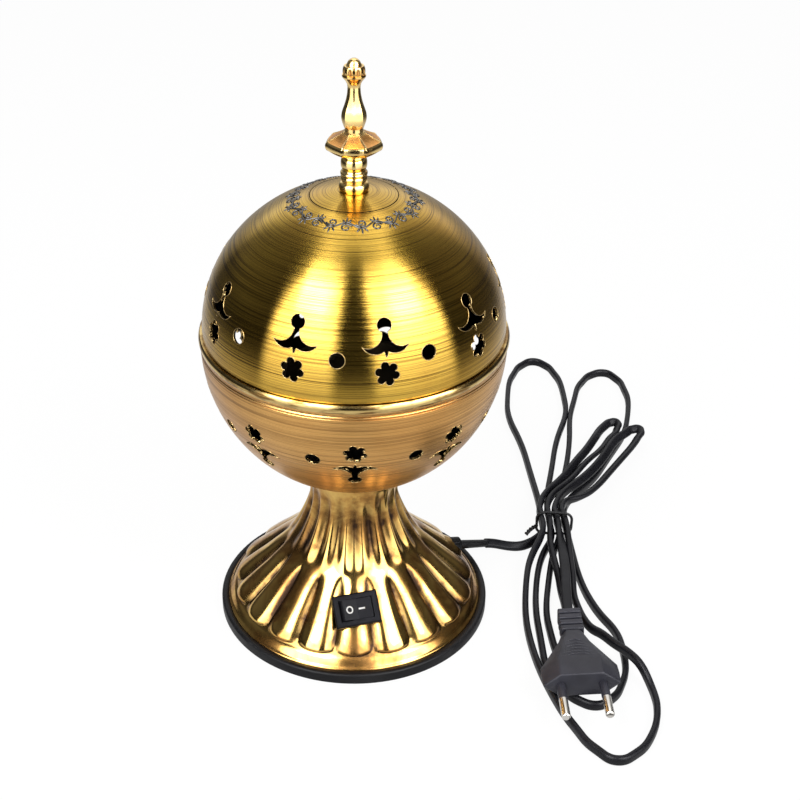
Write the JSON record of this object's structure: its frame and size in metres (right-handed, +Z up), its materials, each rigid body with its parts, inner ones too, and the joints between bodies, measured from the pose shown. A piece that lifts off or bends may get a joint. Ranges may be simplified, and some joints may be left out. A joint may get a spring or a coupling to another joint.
{
  "type": "electric incense burner",
  "caption": "Pierced brass ball incense burner on a fluted foot, with a lift-off domed lid and turned finial, an electric heater inside, a rocker switch and a coiled cord with plug.",
  "frame": {"origin": "on the floor, at the middle of the rubber ring under the foot", "axes": "+Z up along the axis of the ball and finial, -Y to the front, where the switch is, +X to the side where the cord leaves"},
  "size_m": [0.2352, 0.3456, 0.2723],
  "materials": {
    "black_rubber": "satin",
    "base_steel": "matte",
    "screw_steel": "satin",
    "foot_brass": "polished",
    "bowl_brass": "polished",
    "lid_brass": "polished",
    "finial_brass": "polished",
    "plain_brass": "satin",
    "plated_steel": "satin",
    "cup_steel": "satin",
    "coil_wire": "matte",
    "cast_aluminium": "satin",
    "mica_sheet": "matte",
    "white_ceramic": "matte",
    "fuse_metal": "satin",
    "tray_metal": "satin",
    "switch_plastic": "satin",
    "pale_plastic": "satin",
    "brown_sleeve": "satin",
    "blue_sleeve": "satin",
    "grey_sleeve": "satin",
    "cord_sheath": "satin",
    "tie_plastic": "satin",
    "plug_plastic": "satin",
    "pin_nickel": "polished"
  },
  "bodies": {
    "base": {"base_plate": "base_steel", "base_posts": "base_steel", "base_ring": "black_rubber", "base_screws": "screw_steel", "block_screws": "screw_steel", "bowl": "bowl_brass", "ceramic_disc": "white_ceramic", "cord_cores": "grey_sleeve", "cord_grommet": "black_rubber", "cord_hank": "cord_sheath", "cord_lead": "cord_sheath", "cord_tail": "cord_sheath", "cord_tie": "tie_plastic", "fuse_clip": "plated_steel", "heater_cup": "cup_steel", "heater_nuts": "screw_steel", "heater_screws": "screw_steel", "heater_spacers": "plated_steel", "heater_terminals": "plain_brass", "heating_coil": "coil_wire", "hot_plate": "cast_aluminium", "live_lead": "brown_sleeve", "mica_disc": "mica_sheet", "neutral_lead": "blue_sleeve", "pedestal": "foot_brass", "plug_body": "plug_plastic", "plug_pins": "pin_nickel", "switch_housing": "switch_plastic", "switch_terminals": "plain_brass", "switched_lead": "brown_sleeve", "terminal_block": "pale_plastic", "thermal_fuse": "fuse_metal", "threaded_tube": "plated_steel", "tube_nuts": "plated_steel", "tube_washers": "plated_steel"},
    "lid": {"lid_dome": "lid_brass", "lid_collar": "lid_brass", "finial": "finial_brass", "finial_nut": "plain_brass", "finial_washer": "plain_brass", "finial_stud": "plain_brass"},
    "tray": {"incense_tray": "tray_metal"},
    "rocker": {"switch_rocker": "switch_plastic"}
  },
  "joints": [
    {"name": "lid_lift", "type": "slide", "parent": "base", "child": "lid", "axis": [0, 0, 1], "range_m": [0, 0.12]},
    {"name": "tray_lift", "type": "slide", "parent": "base", "child": "tray", "axis": [0, 0, 1], "range_m": [0, 0.04]},
    {"name": "switch_rock", "type": "hinge", "parent": "base", "child": "rocker", "pos_m": [0.00114, -0.0435, 0.02587], "axis": [-0.1839, 0.7168, 0.6726], "range_deg": [-24, 0]}
  ]
}
